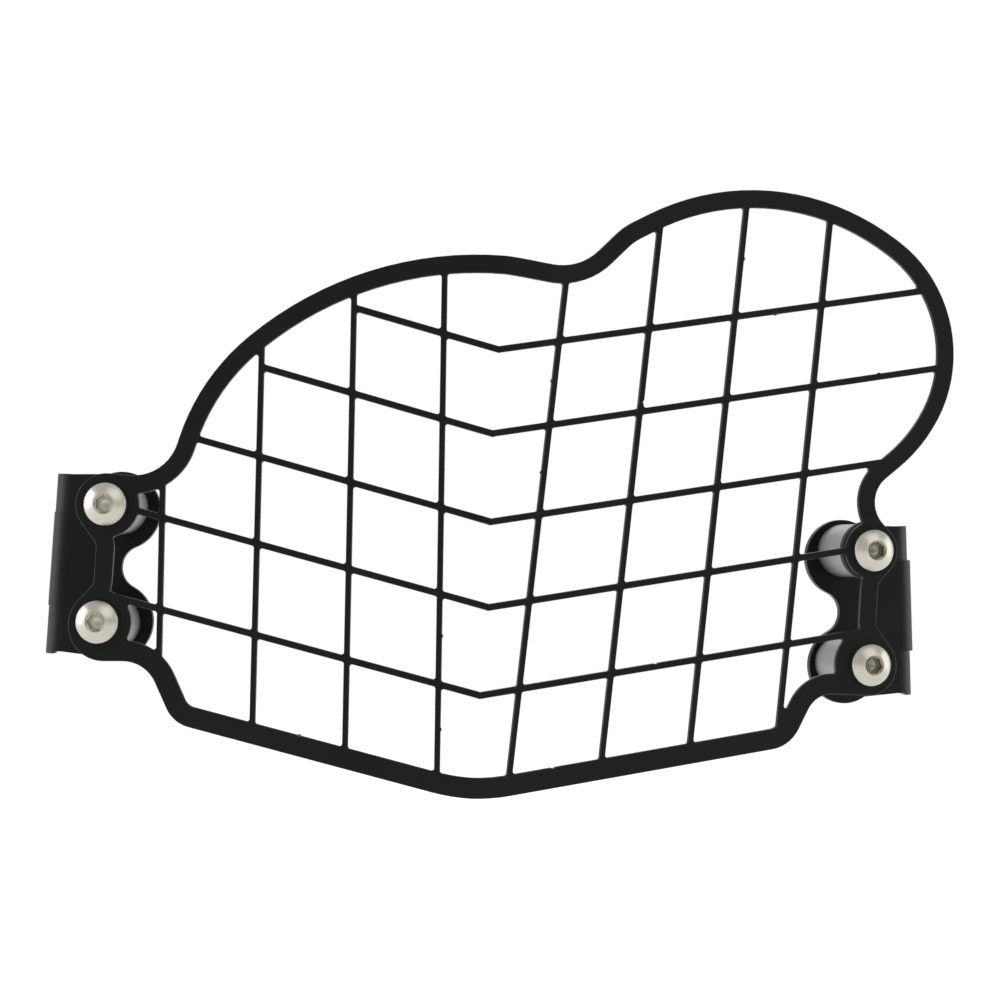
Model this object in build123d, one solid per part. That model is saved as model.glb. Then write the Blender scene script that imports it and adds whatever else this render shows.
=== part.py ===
from build123d import *
from math import acos, atan2, cos, degrees, hypot, radians, sin, sqrt, tan
import os

# Motorcycle headlight guard: a folded grille plate held off two side brackets by four spacers.
# Lengths in millimetres, angles in degrees. +X is to the right of someone facing the guard,
# +Y runs back towards the headlight and +Z is up. The origin is the centre of the left side hole.
# Places on the plate are (across, up) on the flat blank, from the point where row C meets the fold.

# Plate
plate_thickness = 2.0
fold_angle = 10.0
band_width = 6.0
chin_band_width = 6.8
row_width = 2.2
upright_width = 1.9
cell_corner_radius = 0.8
smallest_cell = 8.0

# Mesh rows A to E from the top down: where the halves of each meet, and how steeply each half rises
row_apexes = [(-0.3, 55.6), (-0.6, 28.3), (0.9, -0.2), (2.0, -27.8), (1.0, -56.3)]
left_rise_angles = [12.9, 12.7, 12.2, 11.7, 11.3]
right_rise_angles = [12.5, 12.5, 12.3, 12.2, 12.1]

# Uprights from the fold outwards: how far out each stands at height 0, and how far it leans out
left_upright_distances = [15.6, 45.3, 75.4, 106.8]
left_upright_leans = [2.8, 2.6, 2.4, 2.7]
right_upright_distances = [16.9, 47.3, 77.0, 107.4]
right_upright_leans = [3.1, 2.9, 2.7, 2.6]

# Ears, where the screws hold the plate, and the straps between them
left_ear_across = -125.1
left_ear_height = -2.2
right_upper_ear_across = 134.2
right_lower_ear_across = 135.6
right_ear_height = -0.6
ear_pitch = 38.4
left_ear_radius = 10.2
right_ear_radius = 9.3
left_foot_radius = 11.7
left_foot_shift = (1.8, -0.9)
right_foot_radius = 10.0
right_foot_shift = (0.0, -0.3)
left_web_radius = 10.8
right_upper_web_radius = 9.5
right_lower_web_radius = 12.2
waist_angle = 50.0
left_strap_across = -127.5
right_strap_across = 137.2
strap_corner_radius = 4.0

# Outline corners over the top and along the bottom, each with the radius that rounds it
crown_corners = [(-106.1, 7.5), (-97.5, 41.0), (-43.8, 90.5), (25.4, 84.1), (39.8, 99.6)]
crown_radii = [14.8, 71.1, 116.0, 19.2, 23.0]
lobe_corners = [(92.2, 130.7), (176.3, 81.5), (149.3, 34.1), (129.1, 16.2)]
lobe_radii = [87.4, 45.2, 54.6, 10.1]
chin_corners = [(109.0, -67.5), (0.1, -90.9), (-98.4, -71.7)]
chin_radii = [12.5, 64.4, 11.0]

# The corners between the lower ears and the chin: how far across, and how far below the ear's centre
right_heel_across = 117.2
right_heel_drop = 10.4
right_heel_radius = 9.5
left_heel_across = -108.7
left_heel_drop = 11.7
left_heel_radius = 11.7

# Screws and what they clamp in front of the brackets
screw_diameter = 7.9
screw_length = 40.0
head_diameter = 14.0
head_height = 4.4
head_rim_height = 0.5
head_crown_diameter = 6.6
head_dome_radius = 4.4
socket_across_flats = 5.0
socket_depth = 2.8
screw_tip_chamfer = 0.8
clamp_bore = 8.6
black_washer_diameter = 20.0
black_washer_thickness = 2.5
spacer_diameter = 18.0
spacer_length = 21.5
spacer_edge_chamfer = 0.5

# Brackets, each centred near the middle of its two ears. The top of the right one leans in.
bracket_thickness = 2.5
bracket_hole_diameter = 10.0
lobe_inset = 0.7
lobe_radius = 13.1
scallop_inset = 1.3
root_step = 1.1
bend_inside_radius = 4.0
left_bracket_height = 59.6
left_reach = 23.6
left_tab_offset = 0.3
left_bracket_shift = (-0.1, -0.4)
right_bracket_height = 57.8
right_reach = 26.6
right_tab_offset = 1.1
right_bracket_shift = (1.3, -1.7)
right_lean_angle = 5.4
flange_depth = 16.0
flange_corner_radius = 2.0
bend_corner_radius = 1.5
lug_drop = 0.9
lug_inset = 1.3
tab_depth = 42.0
tab_height = 31.5
tab_rise = 1.2
tab_corner_radius = 8.0
side_hole_diameter = 8.5
side_hole_depth = 27.0

# Washers and lock nuts behind the brackets
flat_washer_diameter = 17.0
flat_washer_thickness = 1.6
flat_washer_bore = 8.4
nut_across_flats = 13.0
nut_height = 6.0
nut_bore = 8.0
nut_chamfer = 0.7
collar_diameter = 12.0
collar_height = 2.0
ring_diameter = 10.8
ring_bore = 8.0

# Worked out from the sizes above
bend_angle = 90 - fold_angle
bend_outside_radius = bend_inside_radius + bracket_thickness
stand_off = plate_thickness + black_washer_thickness + spacer_length
nut_seat = stand_off + bracket_thickness + flat_washer_thickness
blank_span = 2 * (abs(left_ear_across) + right_lower_ear_across)
left_ears = [(left_ear_across, left_ear_height), (left_ear_across, left_ear_height - ear_pitch)]
right_ears = [
    (right_upper_ear_across, right_ear_height),
    (right_lower_ear_across, right_ear_height - ear_pitch),
]
lobe_pitch = ear_pitch - 2 * lobe_inset


def polygon(*points):
    return make_face(Polyline(*points, close=True))


def middle(pair):
    return ((pair[0][0] + pair[1][0]) / 2, (pair[0][1] + pair[1][1]) / 2)


def moved(point, shift):
    return (point[0] + shift[0], point[1] + shift[1])


# An ear's outline corner is where its waist line meets the line that grazes it from the far corner.
# side is 1 on the right and -1 on the left; end is 1 for an upper ear and -1 for a lower one.
def waist_normal(side, end):
    return (90 - 90 * side) - side * end * (90 - waist_angle)


def ear_corner(centre, radius, far_corner, side, end):
    far_angle = degrees(atan2(far_corner[1] - centre[1], far_corner[0] - centre[0]))
    far_distance = hypot(far_corner[0] - centre[0], far_corner[1] - centre[1])
    first = waist_normal(side, end)
    second = far_angle - side * end * degrees(acos(radius / far_distance))
    second = first + (second - first + 180) % 360 - 180
    bisector = radians((first + second) / 2)
    reach = radius / cos(radians((second - first) / 2))
    return (centre[0] + reach * cos(bisector), centre[1] + reach * sin(bisector))


def strap_corner(centre, radius, strap_across, side, end):
    normal = radians(waist_normal(side, end))
    rise = (radius - (strap_across - centre[0]) * cos(normal)) / sin(normal)
    return (strap_across, centre[1] + rise)


# The lower ear of each side is drawn about its foot, whose centre is a little off the screw.
def plate_outline():
    upper, lower = left_ears
    heel = (left_heel_across, lower[1] - left_heel_drop)
    foot = moved(lower, left_foot_shift)
    left_corners = [
        heel,
        ear_corner(foot, left_foot_radius, heel, -1, -1),
        strap_corner(foot, left_foot_radius, left_strap_across, -1, -1),
        strap_corner(upper, left_ear_radius, left_strap_across, -1, 1),
        ear_corner(upper, left_ear_radius, crown_corners[0], -1, 1),
    ]
    left_radii = [left_heel_radius, left_foot_radius] + [strap_corner_radius] * 2 + [left_ear_radius]
    upper, lower = right_ears
    heel = (right_heel_across, lower[1] - right_heel_drop)
    foot = moved(lower, right_foot_shift)
    right_corners = [
        ear_corner(upper, right_ear_radius, lobe_corners[-1], 1, 1),
        strap_corner(upper, right_ear_radius, right_strap_across, 1, 1),
        strap_corner(foot, right_foot_radius, right_strap_across, 1, -1),
        ear_corner(foot, right_foot_radius, heel, 1, -1),
        heel,
    ]
    right_radii = [right_ear_radius] + [strap_corner_radius] * 2 + [right_foot_radius, right_heel_radius]
    corners = left_corners + crown_corners + lobe_corners + right_corners + chin_corners
    radii = left_radii + crown_radii + lobe_radii + right_radii + chin_radii
    return make_face(FilletPolyline(*corners, radius=radii, close=True))


# How far out half a row runs from its apex to an upright, both being straight lines on the flat blank.
def row_meets_upright(side, apex, rise_angle, distance, lean_angle):
    rise, lean = tan(radians(rise_angle)), tan(radians(lean_angle))
    height_at_fold = apex[1] - side * apex[0] * rise
    return (distance + lean * height_at_fold) / (1 - lean * rise) - side * apex[0]


# Half a row, rising outwards from its apex.
def row_bar(side, apex, rise_angle, length):
    half = row_width / 2 / cos(radians(rise_angle))
    rise = length * tan(radians(rise_angle))
    across, height = apex
    return polygon(
        (across, height - half),
        (across + side * length, height + rise - half),
        (across + side * length, height + rise + half),
        (across, height + half),
    )


# An upright leans outwards at the top.
def upright_bar(side, distance, lean_angle):
    half = upright_width / 2 / cos(radians(lean_angle))
    lean = blank_span / 2 * tan(radians(lean_angle))
    return polygon(
        (side * (distance - lean - half), -blank_span / 2),
        (side * (distance - lean + half), -blank_span / 2),
        (side * (distance + lean + half), blank_span / 2),
        (side * (distance + lean - half), blank_span / 2),
    )


# On the left, row A stops at the second upright and row B at the third. All the others reach the rim.
def mesh_bars():
    lengths = [blank_span] * len(row_apexes)
    for row, upright in ((0, 1), (1, 2)):
        lengths[row] = row_meets_upright(
            -1,
            row_apexes[row],
            left_rise_angles[row],
            left_upright_distances[upright],
            left_upright_leans[upright],
        )
    bars = [row_bar(-1, *row) for row in zip(row_apexes, left_rise_angles, lengths)]
    bars += [row_bar(1, *row, blank_span) for row in zip(row_apexes, right_rise_angles)]
    bars += [upright_bar(-1, *upright) for upright in zip(left_upright_distances, left_upright_leans)]
    bars += [upright_bar(1, *upright) for upright in zip(right_upright_distances, right_upright_leans)]
    return bars


# Shrinking a cell with square corners and growing it back with round ones rounds its corners.
def round_corners(cell):
    shrunk = offset(cell, amount=-cell_corner_radius, kind=Kind.INTERSECTION)
    return offset(shrunk, amount=cell_corner_radius, kind=Kind.ARC)


# The band round the mesh is wider along the chin, from the lower ears down.
def mesh_cells(outline):
    below = Pos(0, left_ears[1][1] - blank_span / 2) * Rectangle(2 * blank_span, blank_span)
    chin_band = (outline & below) - offset(outline, amount=-chin_band_width)
    window = offset(outline, amount=-band_width) - chin_band
    web_radii = [left_web_radius, left_web_radius, right_upper_web_radius, right_lower_web_radius]
    discs = [Pos(*ear) * Circle(radius) for ear, radius in zip(left_ears + right_ears, web_radii)]
    open_area = window - discs - mesh_bars()
    return [round_corners(face) for face in open_area.faces() if face.area > smallest_cell]


# Each half of the blank is turned back about the fold and mitred on the fold's own plane.
def grille_plate():
    outline = plate_outline()
    holes = [Pos(*ear) * Circle(clamp_bore / 2) for ear in left_ears + right_ears]
    blank = outline - mesh_cells(outline) - holes
    flat = extrude(Plane.XZ * blank, amount=-plate_thickness)
    halves = []
    for side, align in ((-1, Align.MAX), (1, Align.MIN)):
        keep = Box(blank_span, blank_span, 2 * blank_span, align=(align, Align.CENTER, Align.CENTER))
        halves.append((Rot(0, 0, side * fold_angle) * flat) & keep)
    return halves[0] + halves[1]


# Turned parts stand on a screw's axis: the head points to +Z and z = 0 is the face they seat on.
def button_screw():
    rim, crown = head_diameter / 2, head_crown_diameter / 2
    head = make_face(
        Curve()
        + [
            Line((0, 0), (rim, 0)),
            Line((rim, 0), (rim, head_rim_height)),
            RadiusArc((rim, head_rim_height), (crown, head_height), -head_dome_radius),
            Line((crown, head_height), (0, head_height)),
            Line((0, head_height), (0, 0)),
        ]
    )
    head = revolve(Plane.XZ * head, axis=Axis.Z)
    shank = Pos(0, 0, -screw_length) * Cylinder(
        screw_diameter / 2, screw_length, align=(Align.CENTER, Align.CENTER, Align.MIN)
    )
    shank = chamfer(shank.edges().sort_by(Axis.Z)[0], screw_tip_chamfer)
    socket = extrude(RegularPolygon(socket_across_flats / 2, 6, major_radius=False), amount=socket_depth)
    return head + shank - Pos(0, 0, head_height - socket_depth) * socket


def turned_ring(diameter, bore, thickness, edge_chamfer=0):
    ring = Cylinder(diameter / 2, thickness) - Cylinder(bore / 2, thickness)
    if edge_chamfer:
        rims = ring.edges().filter_by(GeomType.CIRCLE).sort_by(SortBy.RADIUS)[2:]
        ring = chamfer(rims, edge_chamfer)
    return Pos(0, 0, -thickness / 2) * ring


def lock_nut():
    hexagon = extrude(RegularPolygon(nut_across_flats / 2, 6, major_radius=False), amount=-nut_height)
    point_radius = nut_across_flats / sqrt(3)
    cone = Cylinder(point_radius, nut_height, align=(Align.CENTER, Align.CENTER, Align.MAX))
    cone = chamfer(cone.edges().filter_by(GeomType.CIRCLE), nut_chamfer)
    collar = Pos(0, 0, -nut_height) * Cylinder(
        collar_diameter / 2, collar_height, align=(Align.CENTER, Align.CENTER, Align.MAX)
    )
    collar = chamfer(collar.edges().filter_by(GeomType.CIRCLE).sort_by(Axis.Z)[0], nut_chamfer / 2)
    bore = Cylinder(nut_bore / 2, 2 * nut_height, align=(Align.CENTER, Align.CENTER, Align.CENTER))
    seat = Pos(0, 0, -nut_height) * Cylinder(
        ring_diameter / 2, collar_height, align=(Align.CENTER, Align.CENTER, Align.MAX)
    )
    return (hexagon & cone) + collar - bore - seat


def bend_start(reach):
    return reach - bend_outside_radius * sin(radians(bend_angle))


# Where the outer faces of the two flanges would meet without the bend between them.
def bend_corner(reach):
    return bend_start(reach) + bend_outside_radius * tan(radians(bend_angle / 2))


# Bracket sheet seen from above: x runs outwards from the screw line and y back from the front face.
# The strip starts where the lobes end, and spans the heights from low to high.
def bent_strip(reach, depth, low, high):
    half_turn = tan(radians(bend_angle / 2))
    corner = bend_corner(reach)
    run = depth / sin(radians(bend_angle))
    end = (corner + run * cos(radians(bend_angle)), depth)
    inner_end = (
        end[0] - bracket_thickness * sin(radians(bend_angle)),
        end[1] + bracket_thickness * cos(radians(bend_angle)),
    )
    inner_corner = (corner - bracket_thickness * half_turn, bracket_thickness)
    section = make_face(
        FilletPolyline(
            (lobe_radius, 0),
            (corner, 0),
            end,
            inner_end,
            inner_corner,
            (lobe_radius, bracket_thickness),
            radius=[0, bend_outside_radius, 0, 0, bend_inside_radius, 0],
            close=True,
        )
    )
    return Pos(0, 0, low) * extrude(section, amount=high - low)


# Keeps a strip inside a side view with rounded rear corners.
def trimmed(strip, depth, low, high, low_radius, high_radius):
    corners = [(-depth, low), (depth, low), (depth, high), (-depth, high)]
    view = make_face(FilletPolyline(*corners, radius=[0, low_radius, high_radius, 0], close=True))
    return strip & extrude(Plane.YZ * view, amount=2 * right_reach, both=True)


# One end of the side flange, kept inside a front view with rounded corners as well.
def flange_end(reach, inner_edge, low, high, side_radii, front_radii):
    outer_edge = bend_corner(reach) + flange_depth / tan(radians(bend_angle))
    corners = [(inner_edge, low), (outer_edge, low), (outer_edge, high), (inner_edge, high)]
    view = make_face(FilletPolyline(*corners, radius=front_radii, close=True))
    strip = bent_strip(reach, flange_depth, low, high) & extrude(Plane.XZ * view, amount=-flange_depth)
    return trimmed(strip, flange_depth, low, high, *side_radii)


# The middle of the side flange is a longer tab that stands a little proud of the ends. The bottom end
# is a lug that reaches a little below the front flange.
def side_flange(reach, height, tab_offset):
    tab_low, tab_high = tab_rise - tab_height / 2, tab_rise + tab_height / 2
    tab = bent_strip(reach + tab_offset, tab_depth, tab_low, tab_high)
    tab = trimmed(tab, tab_depth, tab_low, tab_high, tab_corner_radius, tab_corner_radius)
    top_side = [0, flange_corner_radius]
    top_front = [0, 0, bend_corner_radius, 0]
    top_end = flange_end(reach, lobe_radius, tab_high, height / 2, top_side, top_front)
    lug_edge, lug_low = bend_start(reach) + lug_inset, -height / 2 - lug_drop
    lug_side = [flange_corner_radius, 0]
    lug_front = [flange_corner_radius, bend_corner_radius, 0, 0]
    lug = flange_end(reach, lug_edge, lug_low, tab_low, lug_side, lug_front)
    return tab + top_end + lug + bent_strip(reach, bend_outside_radius, -height / 2, tab_low)


# Two lobes and the scallop that runs smoothly into both, with a flange that narrows towards the bend.
def front_flange(reach, height, screws):
    flat_end = bend_start(reach)
    spread = (lobe_pitch / 2) ** 2 + scallop_inset**2 - lobe_radius**2
    scallop_radius = spread / 2 / (lobe_radius - scallop_inset)
    scallop_across = -scallop_inset - scallop_radius
    lobes = [Pos(0, end * lobe_pitch / 2) * Circle(lobe_radius) for end in (-1, 1)]
    web = polygon((0, -lobe_pitch / 2), (0, lobe_pitch / 2), (scallop_across, 0))
    flat = polygon(
        (0, -height / 2 - root_step),
        (flat_end, -height / 2),
        (flat_end, height / 2),
        (0, height / 2 + root_step),
    )
    scallop = Pos(scallop_across, 0) * Circle(scallop_radius)
    holes = [Pos(*screw) * Circle(bracket_hole_diameter / 2) for screw in screws]
    face = flat + lobes + web - scallop - holes
    return extrude(Plane.XZ * face, amount=-bracket_thickness)


# Centre of the side hole, midway through the tab.
def side_hole_place(reach, tab_offset):
    turn = radians(bend_angle)
    outer_face = bend_corner(reach + tab_offset) + side_hole_depth / tan(turn)
    across = outer_face - bracket_thickness / 2 * sin(turn)
    depth = side_hole_depth + bracket_thickness / 2 * cos(turn)
    return Pos(across, depth, tab_rise) * Rot(0, 90, 0) * Rot(fold_angle, 0, 0)


def bracket(reach, height, tab_offset, screws):
    sheet = front_flange(reach, height, screws) + side_flange(reach, height, tab_offset)
    drill = Cylinder(side_hole_diameter / 2, 4 * bracket_thickness)
    return sheet - side_hole_place(reach, tab_offset) * drill


# Where the screws of one side pass through its bracket, outwards and up from the bracket's centre.
def screws_in_bracket(side, ears, centre, lean_angle):
    lean = radians(lean_angle)
    screws = []
    for across, height in ears:
        out, up = side * (across - centre[0]), height - centre[1]
        screws.append((out * cos(lean) + up * sin(lean), up * cos(lean) - out * sin(lean)))
    return screws


# Places in the fold's own frame, whose origin is on the front of the fold at row C.
def on_panel(side, across, depth, height):
    return Rot(0, 0, side * fold_angle) * Pos(across, depth, height)


left_centre = moved(middle(left_ears), left_bracket_shift)
right_centre = moved(middle(right_ears), right_bracket_shift)
left_place = on_panel(-1, left_centre[0], stand_off, left_centre[1])
right_place = on_panel(1, right_centre[0], stand_off, right_centre[1]) * Rot(0, -right_lean_angle, 0)
left_screws = screws_in_bracket(-1, left_ears, left_centre, 0)
right_screws = screws_in_bracket(1, right_ears, right_centre, right_lean_angle)
hole = side_hole_place(left_reach, left_tab_offset).position
left_hole = left_place * Pos(-hole.X, hole.Y, hole.Z)
home = Pos(-left_hole.position.X, -left_hole.position.Y, -left_hole.position.Z)

left_bracket = bracket(left_reach, left_bracket_height, left_tab_offset, left_screws)
right_bracket = bracket(right_reach, right_bracket_height, right_tab_offset, right_screws)
parts = {
    "grille_plate": home * grille_plate(),
    "left_bracket": home * left_place * mirror(left_bracket, about=Plane.YZ),
    "right_bracket": home * right_place * right_bracket,
}

screw = button_screw()
black_washer = turned_ring(black_washer_diameter, clamp_bore, black_washer_thickness)
spacer = turned_ring(spacer_diameter, clamp_bore, spacer_length, spacer_edge_chamfer)
flat_washer = turned_ring(flat_washer_diameter, flat_washer_bore, flat_washer_thickness)
nut = lock_nut()
nylon_ring = turned_ring(ring_diameter, ring_bore, collar_height)
ears = {
    "upper_left": (-1, left_ears[0]),
    "lower_left": (-1, left_ears[1]),
    "upper_right": (1, right_ears[0]),
    "lower_right": (1, right_ears[1]),
}
stack = {
    "screw": (0, screw),
    "black_washer": (plate_thickness, black_washer),
    "spacer": (plate_thickness + black_washer_thickness, spacer),
    "flat_washer": (stand_off + bracket_thickness, flat_washer),
    "lock_nut": (nut_seat, nut),
    "nylon_ring": (nut_seat + nut_height, nylon_ring),
}
for ear_name, (side, (across, height)) in ears.items():
    for piece_name, (depth, piece) in stack.items():
        place = home * on_panel(side, across, depth, height) * Rot(90, 0, 0)
        parts[ear_name + "_" + piece_name] = place * piece

os.makedirs("parts", exist_ok=True)
for node, solid in parts.items():
    export_step(solid, "parts/" + node + ".step")

right_hole = home * right_place * side_hole_place(right_reach, right_tab_offset)
print("right side hole", right_hole.position, right_hole.z_axis.direction)
print("fold front at row C", home.position)
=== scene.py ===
import math
import bmesh
import bpy
from mathutils import Matrix, Vector
from mathutils.geometry import intersect_point_line


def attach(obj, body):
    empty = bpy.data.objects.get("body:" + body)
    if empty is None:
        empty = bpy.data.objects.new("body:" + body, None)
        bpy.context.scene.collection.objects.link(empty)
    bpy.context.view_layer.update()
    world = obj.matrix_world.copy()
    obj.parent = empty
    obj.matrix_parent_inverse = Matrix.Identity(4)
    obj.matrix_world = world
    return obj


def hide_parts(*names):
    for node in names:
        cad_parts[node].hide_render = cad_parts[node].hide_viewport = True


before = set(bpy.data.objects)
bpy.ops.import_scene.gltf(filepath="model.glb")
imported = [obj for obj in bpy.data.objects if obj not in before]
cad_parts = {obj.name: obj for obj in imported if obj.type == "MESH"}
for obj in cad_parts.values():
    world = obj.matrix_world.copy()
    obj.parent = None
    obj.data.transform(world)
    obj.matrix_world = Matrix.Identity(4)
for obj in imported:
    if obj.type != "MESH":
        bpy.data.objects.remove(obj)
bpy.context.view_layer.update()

mm = 0.001
tiny = 1e-6  # what counts as no length at all

# where the fold's front meets row C, in the part's frame
foldFront = Vector((140.137, -78.748, 20.600)) * mm
foldAngle = 10.0  # degrees that each half of the plate is turned back

cameraSettings = {
    "pitch": -0.03823,  # radians
    "roll": 0.06341,
    "yaw": 0.10467,
    "offset": (-3.62, 900.0, -6.785),  # mm, from the lens to the fold, in the lens's own axes
    "lens": 100.44,
    "sensor": 36.0,
    "clip": (0.05, 20.0),  # metres
}


def makeCamera(s):
    turn = Matrix.Rotation(s["roll"], 3, "Y") @ Matrix.Rotation(s["pitch"], 3, "X")
    back = (turn @ Matrix.Rotation(s["yaw"], 3, "Z")).transposed()
    data = bpy.data.cameras.new("camera")
    data.lens = s["lens"]
    data.sensor_width = s["sensor"]
    data.clip_start, data.clip_end = s["clip"]
    camera = bpy.data.objects.new("camera", data)
    bpy.context.scene.collection.objects.link(camera)
    right, ahead, up = back.col[0], back.col[1], back.col[2]
    pose = Matrix((right, up, -ahead)).transposed().to_4x4()
    pose.translation = foldFront - back @ (Vector(s["offset"]) * mm)
    camera.matrix_world = pose
    bpy.context.scene.camera = camera
    print("camera made")


def addNode(tree, kind, **settings):
    node = tree.nodes.new(kind)
    for name, value in settings.items():
        setattr(node, name, value)
    return node


# Each term is a float, or the output of another node.
def mathNode(tree, operation, *terms):
    node = addNode(tree, "ShaderNodeMath", operation=operation)
    for socket, term in zip(node.inputs, terms):
        if isinstance(term, float):
            socket.default_value = term
        else:
            tree.links.new(term, socket)
    return node.outputs[0]


stageSettings = {
    "floorHeight": -0.16,  # metres
    "floorAcross": (-3.0, 3.3),
    "floorDeep": (-3.0, 3.0),
    "floorColour": (0.82, 0.82, 0.82, 1.0),
    "floorGlow": 0.45,  # what the camera and reflections get beside the floor's own colour
    "surroundings": 0.80,  # what lights the object
    "behind": 1.0,  # what the camera sees, where 1 is white
}


# 1 for rays from the camera, so that the background is white without lighting the object more
def cameraRays(tree, glossyToo):
    path = addNode(tree, "ShaderNodeLightPath")
    if not glossyToo:
        return path.outputs["Is Camera Ray"]
    return mathNode(tree, "MAXIMUM", path.outputs["Is Camera Ray"], path.outputs["Is Glossy Ray"])


def makeFloor(s):
    material = bpy.data.materials.new("paleStage")
    material.use_nodes = True
    tree = material.node_tree
    tree.nodes.clear()
    out = addNode(tree, "ShaderNodeOutputMaterial")
    diffuse = addNode(tree, "ShaderNodeBsdfDiffuse")
    diffuse.inputs["Color"].default_value = s["floorColour"]
    glow = addNode(tree, "ShaderNodeEmission")
    level = mathNode(tree, "MULTIPLY", cameraRays(tree, True), s["floorGlow"])
    tree.links.new(level, glow.inputs["Strength"])
    both = addNode(tree, "ShaderNodeAddShader")
    tree.links.new(diffuse.outputs[0], both.inputs[0])
    tree.links.new(glow.outputs[0], both.inputs[1])
    tree.links.new(both.outputs[0], out.inputs["Surface"])
    (left, right), (near, far), height = s["floorAcross"], s["floorDeep"], s["floorHeight"]
    corners = [(left, near, height), (right, near, height), (right, far, height), (left, far, height)]
    mesh = bpy.data.meshes.new("floor")
    mesh.from_pydata(corners, [], [(0, 1, 2, 3)])
    mesh.materials.append(material)
    floor = bpy.data.objects.new("floor", mesh)
    bpy.context.scene.collection.objects.link(floor)


def makeWorld(s):
    world = bpy.data.worlds.new("studio")
    bpy.context.scene.world = world
    world.use_nodes = True
    tree = world.node_tree
    tree.nodes.clear()
    out = addNode(tree, "ShaderNodeOutputWorld")
    mix = addNode(tree, "ShaderNodeMixShader")
    tree.links.new(cameraRays(tree, False), mix.inputs[0])
    for socket, strength in ((mix.inputs[1], s["surroundings"]), (mix.inputs[2], s["behind"])):
        light = addNode(tree, "ShaderNodeBackground")
        light.inputs["Color"].default_value = (1.0, 1.0, 1.0, 1.0)
        light.inputs["Strength"].default_value = strength
        tree.links.new(light.outputs[0], socket)
    tree.links.new(mix.outputs[0], out.inputs["Surface"])


# places and sizes in metres, power in watts
lampSettings = {
    "keyLamp": {"place": (0.6, -1.0, 1.1), "size": 1.4, "power": 5.0},
    "leftLamp": {"place": (-0.9, 0.0, 0.25), "size": 0.8, "power": 5.0},
    "rightLamp": {"place": (1.25, 0.0, 0.25), "size": 0.8, "power": 3.0},
    "backLamp": {"place": (0.15, 0.9, 0.9), "size": 0.8, "power": 3.0},
}
lampTarget = Vector((0.15, -0.05, 0.02))  # near the middle of the guard


def makeLamps(lamps):
    for name, s in lamps.items():
        data = bpy.data.lights.new(name, "AREA")
        data.energy = s["power"]
        data.size = s["size"]
        lamp = bpy.data.objects.new(name, data)
        lamp.location = s["place"]
        lamp.rotation_euler = (lampTarget - Vector(s["place"])).to_track_quat("-Z", "Y").to_euler()
        bpy.context.scene.collection.objects.link(lamp)
    print("lamps made")


bpy.context.scene.view_settings.view_transform = "Standard"
makeCamera(cameraSettings)
makeFloor(stageSettings)
makeWorld(stageSettings)
print("stage made")
makeLamps(lampSettings)


# Effects that more than one material uses
def newGroup(name, inputs, outputs):
    group = bpy.data.node_groups.new(name, "ShaderNodeTree")
    for label, kind, value in inputs:
        socket = group.interface.new_socket(label, in_out="INPUT", socket_type=kind)
        if value is not None:
            socket.default_value = value
    for label in outputs:
        group.interface.new_socket(label, in_out="OUTPUT", socket_type="NodeSocketFloat")
    return group, addNode(group, "NodeGroupInput"), addNode(group, "NodeGroupOutput")


def remap(tree, source, given=(0.0, 1.0), wanted=(0.0, 1.0)):
    node = addNode(tree, "ShaderNodeMapRange", clamp=True)
    for socket, value in zip(("From Min", "From Max", "To Min", "To Max"), given + wanted):
        node.inputs[socket].default_value = value
    tree.links.new(source, node.inputs["Value"])
    return node.outputs["Result"]


def makeNoise(tree, vector, scaleSocket, detail, roughness=0.55):
    noise = addNode(tree, "ShaderNodeTexNoise")
    noise.inputs["Detail"].default_value = detail
    noise.inputs["Roughness"].default_value = roughness
    tree.links.new(vector, noise.inputs["Vector"])
    tree.links.new(scaleSocket, noise.inputs["Scale"])
    return noise.outputs["Fac"]


skinEffect = {
    "bumpScale": 900.0,
    "bumpDetail": 2.0,
    "grainScale": 3500.0,
    "grainDetail": 3.0,
    "grainHeight": 0.35,  # of the bumps' height
    "grainRange": (0.3, 0.7),  # the part of the noise that becomes 0 to 1
    "driftScale": 0.05,  # of the bumps' scale
    "driftDetail": 3.0,
    "driftRange": (0.35, 0.65),
}


# the skin of a baked or moulded surface: small soft bumps, finer grain on them, and a slow drift
def makeSkinGroup(s):
    number = "NodeSocketFloat"
    group, given, result = newGroup(
        "skinGrain",
        [("Vector", "NodeSocketVector", None), ("Bump Scale", number, s["bumpScale"]),
         ("Grain Scale", number, s["grainScale"])],
        ["Height", "Grain", "Drift"],
    )
    spot, bumpScale = given.outputs["Vector"], given.outputs["Bump Scale"]
    bumps = makeNoise(group, spot, bumpScale, s["bumpDetail"])
    grain = makeNoise(group, spot, given.outputs["Grain Scale"], s["grainDetail"])
    slowScale = mathNode(group, "MULTIPLY", bumpScale, s["driftScale"])
    drift = makeNoise(group, spot, slowScale, s["driftDetail"])
    height = mathNode(group, "MULTIPLY_ADD", grain, s["grainHeight"], bumps)
    group.links.new(height, result.inputs["Height"])
    group.links.new(remap(group, grain, s["grainRange"]), result.inputs["Grain"])
    group.links.new(remap(group, drift, s["driftRange"]), result.inputs["Drift"])
    return group


wearAndHighlightEffect = {
    "patchScale": 300.0,
    "patchDetail": 4.0,
    "patchRoughness": 0.7,
    "patchRange": (0.42, 0.62),
    "amount": 0.5,
}
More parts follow.
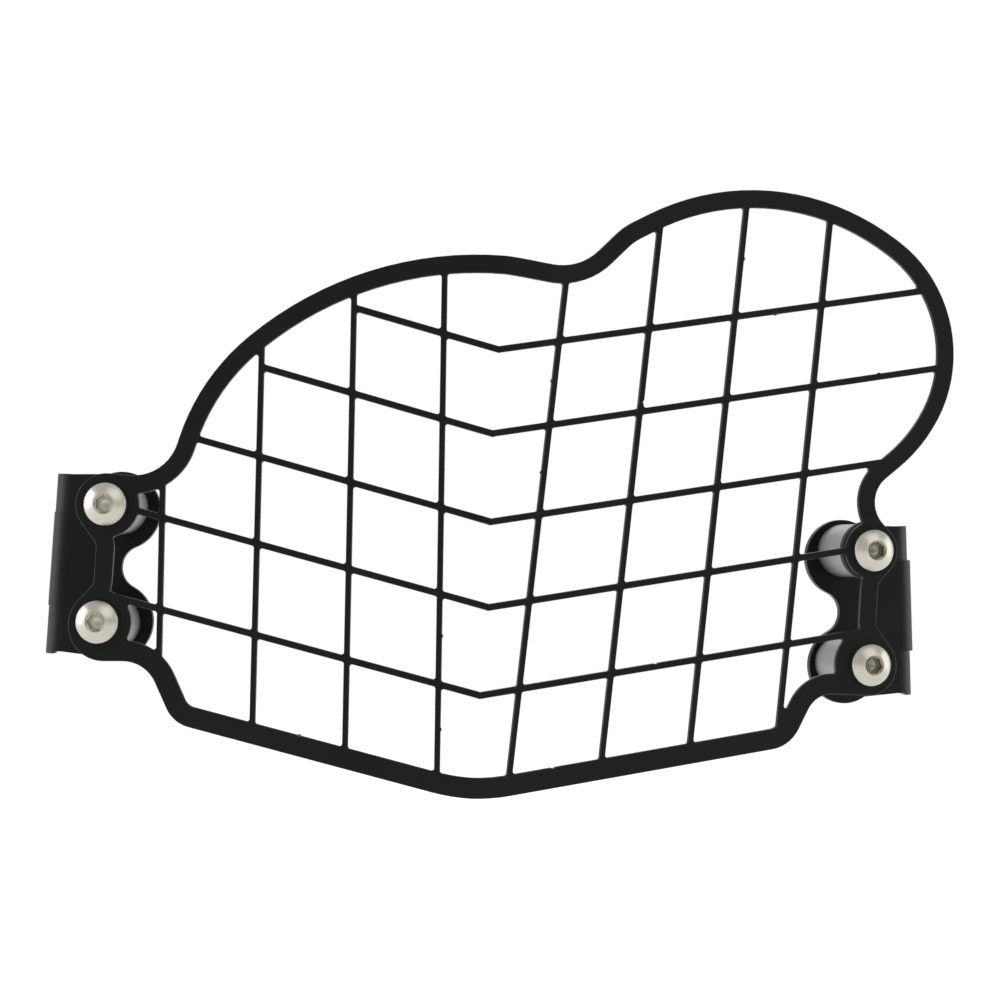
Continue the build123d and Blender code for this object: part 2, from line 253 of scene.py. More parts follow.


# rounded edges rub first, in patches, and there carry a paler colour that is partly wear and partly a painted
# highlight
def makeWearAndHighlightGroup(s):
    number = "NodeSocketFloat"
    group, given, result = newGroup(
        "edgeWearAndHighlight",
        [("Vector", "NodeSocketVector", None), ("Edge", number, 0.0),
         ("Patch Scale", number, s["patchScale"]), ("Amount", number, s["amount"])],
        ["Mask"],
    )
    spot, scale = given.outputs["Vector"], given.outputs["Patch Scale"]
    noise = makeNoise(group, spot, scale, s["patchDetail"], s["patchRoughness"])
    # the paler edge colour stands partly for wear and partly for a painted highlight
    rubbedAndHighlit = mathNode(group, "MULTIPLY", remap(group, noise, s["patchRange"]), given.outputs["Edge"])
    group.links.new(mathNode(group, "MULTIPLY", rubbedAndHighlit, given.outputs["Amount"]), result.inputs["Mask"])
    return group


ringsEffect = {
    "ringsPerMm": 4.0,
    "fine": {"stretch": 1.0, "detail": 0.0},  # raises the surface
    "slow": {"stretch": 0.23, "detail": 2.0},  # shades it
    "shadeRange": (0.35, 0.65),
}


# rings left by a lathe tool or a punch, counted along the profile in mm
def makeRingsGroup(s):
    number = "NodeSocketFloat"
    inputs = [("Along", number, 0.0), ("Rings Per Mm", number, s["ringsPerMm"])]
    group, given, result = newGroup("toolRings", inputs, ["Height", "Shade"])
    count = mathNode(group, "MULTIPLY", given.outputs["Along"], given.outputs["Rings Per Mm"])
    waves = []
    for wave in (s["fine"], s["slow"]):
        noise = addNode(group, "ShaderNodeTexNoise", noise_dimensions="1D")
        noise.inputs["Scale"].default_value = 1.0
        noise.inputs["Detail"].default_value = wave["detail"]
        group.links.new(mathNode(group, "MULTIPLY", count, wave["stretch"]), noise.inputs["W"])
        waves.append(noise.outputs["Fac"])
    group.links.new(waves[0], result.inputs["Height"])
    group.links.new(remap(group, waves[1], s["shadeRange"]), result.inputs["Shade"])
    return group


skinGrain = makeSkinGroup(skinEffect)
edgeWearAndHighlight = makeWearAndHighlightGroup(wearAndHighlightEffect)
toolRings = makeRingsGroup(ringsEffect)
print("shared effects made")


def useGroup(tree, group, values):
    node = addNode(tree, "ShaderNodeGroup", node_tree=group)
    for name, value in values.items():
        node.inputs[name].default_value = value
    return node


def newMaterial(name, values):
    material = bpy.data.materials.new(name)
    material.use_nodes = True
    shader = material.node_tree.nodes["Principled BSDF"]
    for socket, value in values.items():
        shader.inputs[socket].default_value = value
    return material, material.node_tree, shader


def mixColour(tree, mask, low, high):
    mix = addNode(tree, "ShaderNodeMix", data_type="RGBA")
    tree.links.new(mask, mix.inputs["Factor"])
    for socket, value in ((mix.inputs["A"], low), (mix.inputs["B"], high)):
        if isinstance(value, tuple):
            socket.default_value = value
        else:
            tree.links.new(value, socket)
    return mix.outputs["Result"]


def readFloat(tree, name):
    return addNode(tree, "ShaderNodeAttribute", attribute_name=name).outputs["Fac"]


def objectPlace(tree):
    return addNode(tree, "ShaderNodeTexCoord").outputs["Object"]


def addBump(tree, shader, height, distance):
    bump = addNode(tree, "ShaderNodeBump")
    bump.inputs["Distance"].default_value = distance
    bump.inputs["Strength"].default_value = 1.0
    tree.links.new(height, bump.inputs["Height"])
    tree.links.new(bump.outputs["Normal"], shader.inputs["Normal"])


def addSkin(tree, s):
    skin = useGroup(tree, skinGrain, {"Bump Scale": s["bumpScale"], "Grain Scale": s["grainScale"]})
    tree.links.new(objectPlace(tree), skin.inputs["Vector"])
    return skin


def addWearAndHighlight(tree, s):
    wear = useGroup(tree, edgeWearAndHighlight, {"Patch Scale": s["patchScale"], "Amount": s["wear"]})
    tree.links.new(objectPlace(tree), wear.inputs["Vector"])
    tree.links.new(readFloat(tree, "edge"), wear.inputs["Edge"])
    return wear.outputs["Mask"]


# powder coat, rubber and nylon: a grained skin with a slow drift of tone, paler at the rounded edges, partly
# as rubbed wear and partly as a painted highlight
def makeSkinMaterial(name, s):
    material, tree, shader = newMaterial(name, s["plain"])
    skin = addSkin(tree, s)
    tone = mixColour(tree, skin.outputs["Drift"], s["dark"], s["light"])
    # painted highlight and wear: the rounded edges are mixed towards a paler colour
    tree.links.new(mixColour(tree, addWearAndHighlight(tree, s), tone, s["rubbedAndHighlit"]), shader.inputs["Base Color"])
    roughness = remap(tree, skin.outputs["Grain"], wanted=s["roughness"])
    tree.links.new(roughness, shader.inputs["Roughness"])
    addBump(tree, shader, skin.outputs["Height"], s["bumpHeight"])
    return material


# metals: rings from the lathe or punch, fine grain, smudges, painted shade in the screws' sockets and
# creases, and brighter edges, partly rubbed and partly a painted highlight
def makeMetalMaterial(name, s):
    material, tree, shader = newMaterial(name, s["plain"])
    rings = useGroup(tree, toolRings, {"Rings Per Mm": s["ringsPerMm"]})
    tree.links.new(readFloat(tree, "along"), rings.inputs["Along"])
    skin = addSkin(tree, s)
    smudges = mathNode(tree, "MULTIPLY", skin.outputs["Drift"], s["smudgeShare"])
    shade = mathNode(tree, "MULTIPLY_ADD", rings.outputs["Shade"], s["ringShare"], smudges)
    tone = mixColour(tree, shade, s["dark"], s["light"])
    # painted shade: the screws' sockets and the crease round each lead-in are mixed towards a dark shade
    # colour
    tone = mixColour(tree, readFloat(tree, "paintedShade"), tone, s["grime"])
    # painted highlight and wear: the rounded edges are mixed towards a paler colour
    tree.links.new(mixColour(tree, addWearAndHighlight(tree, s), tone, s["rubbedAndHighlit"]), shader.inputs["Base Color"])
    tree.links.new(remap(tree, shade, wanted=s["roughness"]), shader.inputs["Roughness"])
    height = mathNode(tree, "MULTIPLY_ADD", skin.outputs["Grain"], s["grainShare"], rings.outputs["Height"])
    addBump(tree, shader, height, s["bumpHeight"])
    return material


# In each finish, plain holds what is the same all over, and bumpHeight is in metres.
powderCoatSettings = {
    "plain": {"Specular Tint": (0.27, 0.27, 0.275, 1.0)},  # head-on only, grazing gloss stays full
    "dark": (0.0026, 0.0026, 0.0027, 1.0),
    "light": (0.0040, 0.0040, 0.0041, 1.0),
    # paler edge colour, partly rubbed paint and partly a painted highlight
    "rubbedAndHighlit": (0.03, 0.029, 0.028, 1.0),
    "roughness": (0.36, 0.46),
    "bumpScale": 1100.0,
    "grainScale": 4200.0,
    "bumpHeight": 0.000012,
    "patchScale": 160.0,
    "wear": 0.55,
}
rubberSettings = {
    "plain": {"Specular IOR Level": 0.3},
    "dark": (0.010, 0.010, 0.010, 1.0),
    "light": (0.016, 0.016, 0.015, 1.0),
    "rubbedAndHighlit": (0.04, 0.04, 0.038, 1.0),
    "roughness": (0.55, 0.72),
    "bumpScale": 1600.0,
    "grainScale": 6000.0,
    "bumpHeight": 0.00002,
    "patchScale": 400.0,
    "wear": 0.5,
}
nylonSettings = {
    "plain": {"Subsurface Weight": 0.15, "Subsurface Scale": 0.002},
    "dark": (0.66, 0.65, 0.60, 1.0),
    "light": (0.76, 0.75, 0.70, 1.0),
    "rubbedAndHighlit": (0.80, 0.79, 0.76, 1.0),
    "roughness": (0.38, 0.52),
    "bumpScale": 900.0,
    "grainScale": 5000.0,
    "bumpHeight": 0.00001,
    "patchScale": 500.0,
    "wear": 0.6,
}
stainlessSettings = {
    "plain": {"Metallic": 1.0},
    "dark": (0.405, 0.388, 0.332, 1.0),
    "light": (0.475, 0.457, 0.395, 1.0),
    "rubbedAndHighlit": (0.56, 0.545, 0.485, 1.0),
    # colour of the painted shade in the screws' sockets and creases
    "grime": (0.20, 0.183, 0.14, 1.0),
    "roughness": (0.26, 0.36),
    "ringsPerMm": 5.0,
    "ringShare": 0.6,  # of the change from dark to light
    "smudgeShare": 0.4,
    "bumpScale": 700.0,
    "grainScale": 7000.0,
    "grainShare": 0.5,  # of the rings' height
    "bumpHeight": 0.000006,
    "patchScale": 500.0,
    "wear": 0.7,
}
aluminiumSettings = {
    "plain": {"Metallic": 1.0},
    "dark": (0.245, 0.245, 0.245, 1.0),
    "light": (0.305, 0.305, 0.305, 1.0),
    "rubbedAndHighlit": (0.44, 0.44, 0.44, 1.0),
    # colour of painted shade, which no aluminium piece carries
    "grime": (0.2, 0.2, 0.2, 1.0),
    "roughness": (0.42, 0.55),
    "ringsPerMm": 4.0,
    "ringShare": 0.6,
    "smudgeShare": 0.4,
    "bumpScale": 500.0,
    "grainScale": 6000.0,
    "grainShare": 0.35,
    "bumpHeight": 0.000008,
    "patchScale": 350.0,
    "wear": 0.6,
}

# by material slot
finishes = {
    "powder_coat": makeSkinMaterial("powderCoat", powderCoatSettings),
    "rubber": makeSkinMaterial("blackRubber", rubberSettings),
    "nylon": makeSkinMaterial("nylon", nylonSettings),
    "stainless": makeMetalMaterial("satinStainless", stainlessSettings),
    "spacer_aluminium": makeMetalMaterial("turnedAluminium", aluminiumSettings),
}
print("finishes made")


def camel(text):
    first, *rest = text.split("_")
    return first + "".join(word.capitalize() for word in rest)


sharpAngle = 70.0  # degrees, where shading stops at an edge that has no round


# Flat faces keep their own normal, and the rounded strips between them turn from one to the next.
def cornerNormals(mesh):
    pushes = [[] for _ in mesh.vertices]
    for face in mesh.polygons:
        push = (face.normal.copy(), face.normal * face.area ** 2)
        for corner in face.vertices:
            pushes[corner].append(push)
    turned, limit = [], math.cos(math.radians(sharpAngle))
    for face in mesh.polygons:
        for corner in face.vertices:
            near = (push for normal, push in pushes[corner] if normal.dot(face.normal) > limit)
            turned.append(sum(near, Vector((0.0, 0.0, 0.0))).normalized())
    return turned


# A piece stands for the CAD node that it is named after. floats holds what its finish reads at each point.
def makePiece(node, slot, points, faces, floats):
    mesh = bpy.data.meshes.new(camel(node))
    mesh.from_pydata(points, [], faces)
    mesh.update()
    mesh.polygons.foreach_set("use_smooth", [True] * len(mesh.polygons))
    for label, values in floats.items():
        mesh.attributes.new(label, "FLOAT", "POINT").data.foreach_set("value", values)
    mesh.normals_split_custom_set(cornerNormals(mesh))
    mesh.materials.append(finishes[slot])
    piece = bpy.data.objects.new(camel(node), mesh)
    bpy.context.scene.collection.objects.link(piece)
    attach(piece, "root")
    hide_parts(node)


# A place on the left (-1) or right (1) half of the plate, in mm: across and up from row C's apex, and back
# from the plate's front
def onPanel(side, across, depth, height):
    turn = Matrix.Rotation(math.radians(side * foldAngle), 4, "Z")
    return Matrix.Translation(foldFront) @ turn @ Matrix.Translation(Vector((across, depth, height)) * mm)


# lengths in mm, angles in degrees
plateSettings = {
    "edgeRadius": 0.38,
    "edgeSteps": 3,
    "weld": 0.02,
    "flatBelow": 0.3,  # faces that meet at less are made one
    "smoothBelow": 27.0,  # faces that meet at less are on one side, over the fold too
    "onFold": 0.005,
    "foldWeld": 0.25,
    "foldHalfWidth": 1.0,  # of the strip that is cut along the fold
    "cutSnap": 0.002,
    "nearFold": 1.6,
    "nearWeld": 0.3,
    "slivers": (0.005, 0.01),  # dissolved before and after the strip is cut
}

# small nubs where the laser started and stopped, in mm
nubSettings = {
    "height": 0.4,
    "halfWidth": 0.75,
    "shoulder": 0.55,  # of the height, half-way to the middle
    "margin": 1.1,  # half-widths that stay free at an edge's ends
    "shortestEdge": 3.0,  # half-widths
    "furthest": 3.5,  # from the spot to the edge
    "depths": (0.0, 2.0),  # the plate's front and back
    "spots": [  # across (left is negative) and up from row C's apex
        (133, 59), (95, 75.5), (82, 93), (60, -42), (-57, -73), (27, -78),
        (-13, -38), (-11, -68), (18, 47), (16, 17), (50, 42),
    ],
}

bracketSettings = {
    "edgeRadius": 0.2,
    "edgeSteps": 3,
    "weld": 0.02,
    "flatBelow": 0.3,
    "smoothBelow": 15.0,
    "shortRimShare": 0.4,  # a round is at most this share of the rim edges that it joins
    "stepWithin": 3.0,  # rounds within which a low step below a rim is looked for
    "stepFacing": 0.7,
    "stepShare": 0.42,  # a round is at most this share of a low step
}

mitreFloor = 0.6  # keeps the rounds of very sharp corners from reaching far
sameWay = 0.999  # cosine above which two edges run the same way


def isSharp(edge, limit):
    return len(edge.link_faces) == 2 and edge.calc_face_angle() > math.radians(limit)


# The sharp edge nearest to a spot: its gap, the edge itself, and how far along it the spot lies
def nearestEdge(bm, spot, shortest, limit):
    best = None
    for edge in bm.edges:
        start = edge.verts[0].co
        run = edge.verts[1].co - start
        length = run.length
        if length < shortest or not isSharp(edge, limit):
            continue
        share = max(0.0, min(1.0, (spot - start).dot(run) / length ** 2))
        gap = (start + run * share - spot).length
        if best is None or gap < best[0]:
            best = (gap, edge, share * length)
    return best


# Adds the points of one nub to the nearest sharp edge, and returns them in order with their rise.
def splitForNub(bm, spot, s, limit):
    half = s["halfWidth"]
    gap, edge, centre = nearestEdge(bm, spot, s["shortestEdge"] * half * mm, limit)
    start, whole = edge.verts[0], edge.verts[1].co - edge.verts[0].co
    run, margin = whole.normalized(), s["margin"] * (half * mm)
    centre = max(margin, min(whole.length - margin, centre))
    origin, made = start.co.copy(), []
    profile = [(-half, 0.0), (-half / 2, s["shoulder"]), (0.0, 1.0), (half / 2, s["shoulder"]), (half, 0.0)]
    for along, rise in profile:
        rest = edge.calc_length()
        before = (start.co - origin).dot(run)
        edge, start = bmesh.utils.edge_split(edge, start, (centre + along * mm - before) / rest)
        ways = [(e, (e.other_vert(start).co - start.co).normalized()) for e in start.link_edges]
        edge = next(e for e, way in ways if way.dot(run) > sameWay)
        made.append((start, rise))
    return gap, made


def addNubs(bm, s, limit):
    found = 0
    for across, height in s["spots"]:
        side = -1 if across < 0 else 1
        spots = [onPanel(side, across, depth, height).translation for depth in s["depths"]]
        columns = [splitForNub(bm, spot, s, limit) for spot in spots]
        if max(gap for gap, made in columns) > s["furthest"] * mm:
            continue
        found += 1
        front, back = ([vert for vert, rise in made] for gap, made in columns)
        if (back[-1].co - back[0].co).dot(front[-1].co - front[0].co) < 0:
            back.reverse()
        for pair in zip(front, back):
            bmesh.ops.connect_vert_pair(bm, verts=list(pair))
        outward = onPanel(side, across, 0, height).to_3x3() @ Vector((0, 1, 0))
        for gap, made in columns:
            away = (made[-1][0].co - made[0][0].co).normalized().cross(outward)
            middle = made[len(made) // 2][0]
            flat = max(middle.link_faces, key=lambda f: abs(f.normal.dot(outward)))
            if away.dot(flat.calc_center_median() - middle.co) > 0:
                away = -away
            for vert, rise in made:
                vert.co += away * (rise * s["height"] * mm)
    print("nubs:", found)


# Cuts a strip along the fold, and welds the small edges that would fold its rounds over.
def cutFold(bm, s):
    def weldNear(within, dist, sliver):
        near = [v for v in bm.verts if abs(v.co.x - foldFront.x) < within * mm]
        bmesh.ops.remove_doubles(bm, verts=near, dist=dist * mm)
        bmesh.ops.dissolve_degenerate(bm, dist=sliver * mm, edges=bm.edges)

    weldNear(s["onFold"], s["foldWeld"], s["slivers"][0])
    for sign in (-1, 1):
        spot = foldFront + Vector((sign * s["foldHalfWidth"] * mm, 0, 0))
        bmesh.ops.bisect_plane(bm, geom=bm.verts[:] + bm.edges[:] + bm.faces[:], dist=s["cutSnap"] * mm,
                               plane_co=spot, plane_no=(1, 0, 0))
    weldNear(s["nearFold"], s["nearWeld"], s["slivers"][1])


# Walks over faces that meet smoothly, and tells of each face whether it is on one of the two large sides.
def findSides(bm, limit):
    region, areas = {}, []
    for seed in bm.faces:
        if seed.index in region:
            continue
        region[seed.index], stack, area = len(areas), [seed], 0.0
        while stack:
            face = stack.pop()
            area += face.calc_area()
            for edge in face.edges:
                if isSharp(edge, limit):
                    continue
                for other in edge.link_faces:
                    if other.index not in region:
                        region[other.index] = len(areas)
                        stack.append(other)
        areas.append(area)
    sides = sorted(range(len(areas)), key=lambda i: -areas[i])[:2]
    return {face.index: region[face.index] in sides for face in bm.faces}


# The edges between the sides and the cut walls, and at each of their points the ways over side and wall
def findRims(bm, isSide, atFold):
    rims, ways = [], {}
    for edge in bm.edges:
        if [isSide[f.index] for f in edge.link_faces] not in ([True, False], [False, True]):
            continue
        face = next(f for f in edge.link_faces if isSide[f.index])
        wall = next(f for f in edge.link_faces if f is not face)
        loop = next(corner for corner in face.loops if corner.edge is edge)
        first, second = loop.vert, loop.link_loop_next.vert
        run = (second.co - first.co).normalized()
        rims.append((first.index, second.index))
        onWall = -face.normal if atFold else run.cross(wall.normal)
        for vert in (first, second):
            ways.setdefault(vert.index, []).append((face.normal.cross(run), onWall))
    return rims, ways


# How far a bracket's round reaches at each point, which is less on short rim edges and above low steps
def bracketReach(bm, rims, s):
    ends = [(bm.verts[a].co, bm.verts[b].co) for a, b in rims]
    shortest = {}
    for corners, (first, second) in zip(rims, ends):
        length = (first - second).length
        for corner in corners:
            shortest[corner] = min(length, shortest.get(corner, length))

    def reachAt(vert, onWall):
        reach = min(s["edgeRadius"] * mm, s["shortRimShare"] * shortest[vert.index])
        for first, second in ends:
            near, share = intersect_point_line(vert.co, first, second)
            way = near - vert.co
            gap = way.length
            if not (0 <= share <= 1 and tiny < gap < s["stepWithin"] * reach):
                continue
            if way.dot(onWall) > s["stepFacing"] * gap:
                reach = min(reach, s["stepShare"] * gap)
        return reach

    return reachAt


def mitre(a, b):
    return (a + b) / max(mitreFloor, 1 + a.dot(b))


# Every edge between a sheet's two large sides and its cut walls gets a round. Only the plate has the fold
# and the nubs.
def roundedSheet(node, s, atFold):
    bm = bmesh.new()
    bm.from_mesh(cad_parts[node].data)
    bmesh.ops.remove_doubles(bm, verts=bm.verts, dist=s["weld"] * mm)
    bmesh.ops.dissolve_limit(bm, angle_limit=math.radians(s["flatBelow"]), use_dissolve_boundaries=False,
                             verts=bm.verts, edges=bm.edges)
    if atFold:
        cutFold(bm, s)
        addNubs(bm, nubSettings, s["smoothBelow"])
    bm.normal_update()
    bm.faces.ensure_lookup_table()
    bm.verts.ensure_lookup_table()
    bm.verts.index_update()
    bm.faces.index_update()
    isSide = findSides(bm, s["smoothBelow"])
    rims, ways = findRims(bm, isSide, atFold)
    reachAt = (lambda vert, onWall: s["edgeRadius"] * mm) if atFold else bracketReach(bm, rims, s)
    points, edgeMask, strips, steps = [], [], {}, s["edgeSteps"]
    for vert in bm.verts:
        found = ways.get(vert.index, [])
        if len(found) != 2:
            strips[vert.index] = [len(points)] * (steps + 1)
            points.append(vert.co.copy())
            edgeMask.append(0.0)
            continue
        onFace, onWall = (mitre(*pair) for pair in zip(*found))
        reach = reachAt(vert, onWall)
        onFace, onWall = onFace * reach, onWall * reach
        strips[vert.index] = []
        for step in range(steps + 1):
            turn = math.radians(90 * step / steps)
            strips[vert.index].append(len(points))
            points.append(vert.co + onFace * (1 - math.sin(turn)) + onWall * (1 - math.cos(turn)))
            edgeMask.append(1.0 if 0 < step < steps else 0.0)
    faces = []
    for face in bm.faces:
        level = 0 if isSide[face.index] else steps
        faces.append([strips[vert.index][level] for vert in face.verts])
    for first, second in rims:
        a, b = strips[second], strips[first]
        for step in range(steps):
            corners = list(dict.fromkeys((a[step], b[step], b[step + 1], a[step + 1])))
            if len(corners) > 2:
                faces.append(corners)
    bm.free()
    makePiece(node, "powder_coat", points, faces, {"edge": edgeMask})
    print(camel(node), "made,", len(points), "points")


roundedSheet("grille_plate", plateSettings, True)
roundedSheet("left_bracket", bracketSettings, False)
roundedSheet("right_bracket", bracketSettings, False)

softShare = 0.48  # of a side that the rounding of one corner may take


# Rounds the corners of a profile. Each corner is (radius, height, rounding) in mm.
def softProfile(corners, closed, steps=3):
    rounded = []
    count = len(corners)
    for i, (r, z, soft) in enumerate(corners):
        here = Vector((r, z))
        if soft == 0 or (not closed and i in (0, count - 1)):
            rounded.append((here, 0.0))
            continue
        before, after = (Vector(corners[j % count][:2]) for j in (i - 1, i + 1))
        inRun, outRun = before - here, after - here
        start = here + inRun.normalized() * min(soft, inRun.length * softShare)
        end = here + outRun.normalized() * min(soft, outRun.length * softShare)
        for step in range(steps + 1):
            t = step / steps
            spot = start * (1 - t) ** 2 + here * (2 * t * (1 - t)) + end * t ** 2
            rounded.append((spot, 1.0 if 0 < step < steps else 0.0))
    return rounded


# Carries a profile round a screw's axis. It may change with the angle, as a nut's or a thread's does.
def carriedRound(node, slot, place, profileAt, closed, steps, paintedShadeAt=lambda spot: 0.0):
    points, edgeMask, along, paintedShade, faces = [], [], [], [], []
    profiles = [profileAt(2 * math.pi * k / steps) for k in range(steps)]
    count = len(profiles[0])
    index = {}
    for k, profile in enumerate(profiles):
        angle, travelled = 2 * math.pi * k / steps, 0.0
        for j, (spot, mask) in enumerate(profile):
            if j:
                travelled += (spot - profile[j - 1][0]).length
            if spot.x < tiny and k:
                index[k, j] = index[0, j]
                continue
            index[k, j] = len(points)
            here = Vector((spot.x * math.cos(angle), spot.x * math.sin(angle), spot.y))
            points.append(place @ (here * mm))
            edgeMask.append(mask)
            along.append(travelled)
            paintedShade.append(paintedShadeAt(spot))
    for k in range(steps):
        after = (k + 1) % steps
        for j in range(count if closed else count - 1):
            up = (j + 1) % count
            corners = list(dict.fromkeys(index[key] for key in ((k, j), (after, j), (after, up), (k, up))))
            if len(corners) > 2:
                faces.append(corners if closed else corners[::-1])
    makePiece(node, slot, points, faces, {"edge": edgeMask, "along": along, "paintedShade": paintedShade})


def hexRadius(acrossFlats, angle):
    sixth = math.pi / 3
    return acrossFlats / 2 / math.cos((angle % sixth) - sixth / 2)


# lengths in mm, angles in degrees
screwSettings = {
    "headDiameter": 14.0,
    "headHeight": 4.4,
    "rimHeight": 1.8,
    "rimSoft": 0.15,
    "crownDiameter": 6.9,
    "domeRadius": 9.0,
    "domeSteps": 12,
    "socketFlats": 5.0,
    "socketDepth": 2.8,
    "socketSoft": 0.15,
    "socketTurns": {"upper_left": 24.0, "lower_left": 4.0, "upper_right": 30.0, "lower_right": 8.0},
    # how much painted shade darkens each socket, heavier in the right-hand screws
    "paintedSocketShade": {"upper_left": 0.35, "lower_left": 0.35, "upper_right": 0.95, "lower_right": 1.0},
    "leadInDiameter": 6.5,
    "leadInSlope": 0.8,
    "leadInSoft": 0.06,
    "creaseWidth": 0.1,  # half of the thin line round the lead-in
    # painted shade along the thin crease round the lead-in
    "creaseGrime": 0.8,
    "drillPoint": 0.5,  # depth of the cone in the socket's floor
    "drillDiameter": 2.6,
    "shankDiameter": 7.9,
    "shankStart": -1.0,  # the profile's first point below the head
    "length": 40.0,
    "tipChamfer": 0.8,
    "threadPitch": 1.25,
    "threadDepth": 0.62,
    "threadLength": 12.0,
    "threadStep": 0.125,
    "threadSlope": 2.6,  # how steeply a groove's walls fall
    "threadFade": 12,  # steps in which it reaches its full depth
    "roundSteps": 96,
}


def domeArc(s):
    rim = Vector((s["headDiameter"] / 2, s["rimHeight"]))
    crown = Vector((s["crownDiameter"] / 2, s["headHeight"]))
    middle, half = (rim + crown) / 2, (rim - crown).length / 2
    run = (rim - crown).normalized()
    radius = max(s["domeRadius"], half)
    inward = Vector((run.y, -run.x)) * math.sqrt(radius ** 2 - half ** 2)
    centre = middle + inward
    if centre.length > middle.length:
        centre = middle - inward
    first = math.atan2(crown.y - centre.y, crown.x - centre.x)
    last = math.atan2(rim.y - centre.y, rim.x - centre.x)
    angles = [first + (last - first) * i / s["domeSteps"] for i in range(s["domeSteps"] + 1)]
    return [centre + Vector((math.cos(angle), math.sin(angle))) * radius for angle in angles]


def screwProfile(s, ear):
    dome, socketTurn = domeArc(s), math.radians(s["socketTurns"][ear])
    top, lead = s["headHeight"], s["leadInDiameter"] / 2
    floor, shank, tip = top - s["socketDepth"], s["shankDiameter"] / 2, -s["length"]
    rimSoft, socketSoft, leadInSoft = s["rimSoft"], s["socketSoft"], s["leadInSoft"]

    def threadAt(angle, row):
        z = tip + s["threadLength"] - row * s["threadStep"]
        wave = (z / s["threadPitch"] + angle / (2 * math.pi)) % 1.0
        groove = max(0.0, 1.0 - abs(wave - 0.5) * s["threadSlope"])
        r = shank - s["threadDepth"] * groove * min(1.0, row / s["threadFade"])
        r = min(r, shank - s["tipChamfer"] + (z - tip))
        return Vector((r, z)), 1.0 if groove == 0 else 0.0

    def profileAt(angle):
        wall = hexRadius(s["socketFlats"], angle + socketTurn)
        profile = softProfile([
            (0.0, floor - s["drillPoint"], 0),
            (s["drillDiameter"] / 2, floor, socketSoft),
            (wall, floor, socketSoft),
            (wall, top - (lead - wall) * s["leadInSlope"], leadInSoft),
            (lead, top, leadInSoft),
            (dome[0].x, dome[0].y, 0),
        ], False)[:-1]
        profile += [(spot, 0.0) for spot in dome[:-1]]
        profile += softProfile([
            (dome[-2].x, dome[-2].y, 0),
            (dome[-1].x, dome[-1].y, rimSoft),
            (dome[-1].x, 0.0, rimSoft),
            (shank, 0.0, 0),
            (shank, s["shankStart"], 0),
        ], False)[1:]
        profile += [threadAt(angle, row) for row in range(int(s["threadLength"] / s["threadStep"]) + 1)]
        return profile + [(Vector((0.0, tip)), 0.0)]

    return profileAt


# where a screw is darkened by painted shade: its socket, and the thin crease round its lead-in
def shadeInSocket(s, ear):
    edge, top, crease = s["leadInDiameter"] / 2, s["headHeight"], s["creaseWidth"]

    def paintedShadeAt(spot):
        if abs(spot.x - edge) < crease and spot.y > top - crease:
            return s["creaseGrime"]
        return s["paintedSocketShade"][ear] if spot.x < edge and 0 < spot.y < top else 0.0

    return paintedShadeAt


# All in mm: seat is the depth behind the plate's front, size is diameter, bore and thickness, and soft is
# the rounding outside and at the bore.
ringSettings = {
    "black_washer": {"slot": "rubber", "seat": 2.0, "size": (20.0, 8.6, 2.5), "soft": (0.45, 0.2)},
    "spacer": {"slot": "spacer_aluminium", "seat": 4.5, "size": (18.0, 8.6, 21.5), "soft": (0.6, 0.2)},
    "flat_washer": {"slot": "stainless", "seat": 28.5, "size": (17.0, 8.4, 1.6), "soft": (0.3, 0.15)},
    "nylon_ring": {"slot": "nylon", "seat": 36.1, "size": (10.8, 8.0, 2.0), "soft": (0.25, 0.3)},
}
ringSteps = 96


def ringProfile(outer, bore, thickness, outerSoft, boreSoft):
    low, high, back = bore / 2, outer / 2, -thickness
    corners = [(low, back, boreSoft), (high, back, outerSoft), (high, 0, outerSoft), (low, 0, boreSoft)]
    return lambda angle: softProfile(corners, True)


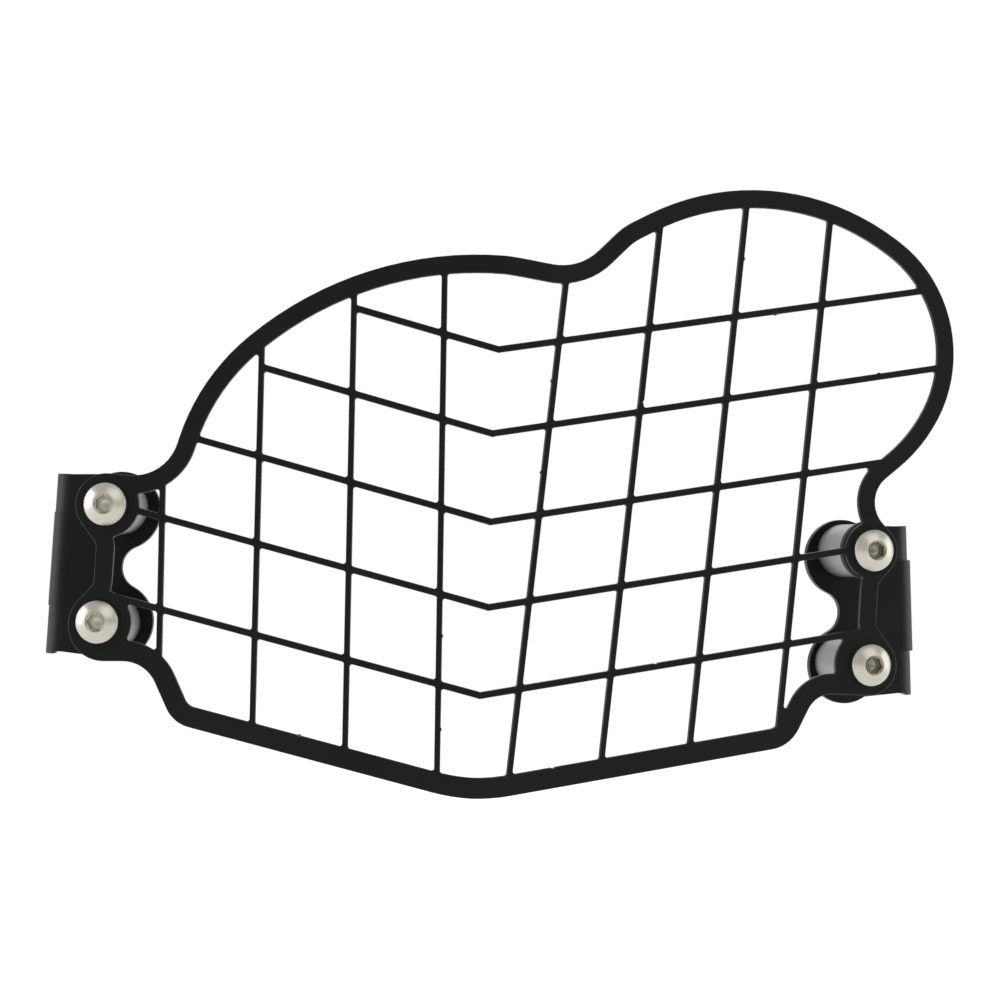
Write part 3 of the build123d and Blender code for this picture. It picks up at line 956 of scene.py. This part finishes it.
nutSettings = {
    "seat": 30.1,  # mm behind the plate's front
    "flats": 13.0,
    "height": 6.0,
    "bore": 8.0,
    "boreChamfer": 0.3,
    "chamfer": 0.7,  # how far the cones cut in from the six corners
    "leastRise": 0.04,
    "leastInset": 0.03,
    "collarDiameter": 12.0,
    "collarHeight": 2.0,
    "collarLip": 0.35,
    "collarSoft": 0.1,
    "ringSeat": 10.8,
    "soft": 0.14,
    "roundSteps": 120,
}


def nutProfile(s):
    bore, bottom, soft = s["bore"] / 2, -s["height"], s["soft"]
    collar, lip, seat = s["collarDiameter"] / 2, s["collarLip"], s["ringSeat"] / 2
    end, cone = bottom - s["collarHeight"], s["flats"] / math.sqrt(3) - s["chamfer"]

    def profileAt(angle):
        flat = hexRadius(s["flats"], angle)
        rise, top = max(s["leastRise"], flat - cone), min(flat - s["leastInset"], cone)
        return softProfile([
            (bore, bottom, soft),
            (seat, bottom, 0),
            (seat, end, soft),
            (collar - lip, end, soft),
            (collar, end + lip, soft),
            (collar, bottom, s["collarSoft"]),
            (top, bottom, soft),
            (flat, bottom + rise, soft),
            (flat, -rise, soft),
            (top, 0.0, soft),
            (bore + s["boreChamfer"], 0.0, soft),
            (bore, -s["boreChamfer"], soft),
        ], True)

    return profileAt


# which half of the plate, then across and up from row C's apex in mm
ears = {
    "upper_left": (-1, -125.1, -2.2),
    "lower_left": (-1, -125.1, -40.6),
    "upper_right": (1, 134.2, -0.6),
    "lower_right": (1, 135.6, -39.0),
}


# a screw's own frame, whose axis points out of the plate's front
def seatAt(ear, depth):
    side, across, height = ears[ear]
    return onPanel(side, across, depth, height) @ Matrix.Rotation(math.radians(90), 4, "X")


for ear in ears:
    s = screwSettings
    carriedRound(ear + "_screw", "stainless", seatAt(ear, 0), screwProfile(s, ear), False, s["roundSteps"],
                 shadeInSocket(s, ear))
    for kind, s in ringSettings.items():
        profile = ringProfile(*s["size"], *s["soft"])
        carriedRound(ear + "_" + kind, s["slot"], seatAt(ear, s["seat"]), profile, True, ringSteps)
    s = nutSettings
    carriedRound(ear + "_lock_nut", "stainless", seatAt(ear, s["seat"]), nutProfile(s), True, s["roundSteps"])
    print(camel(ear), "screw and its washers, spacer and nut made")
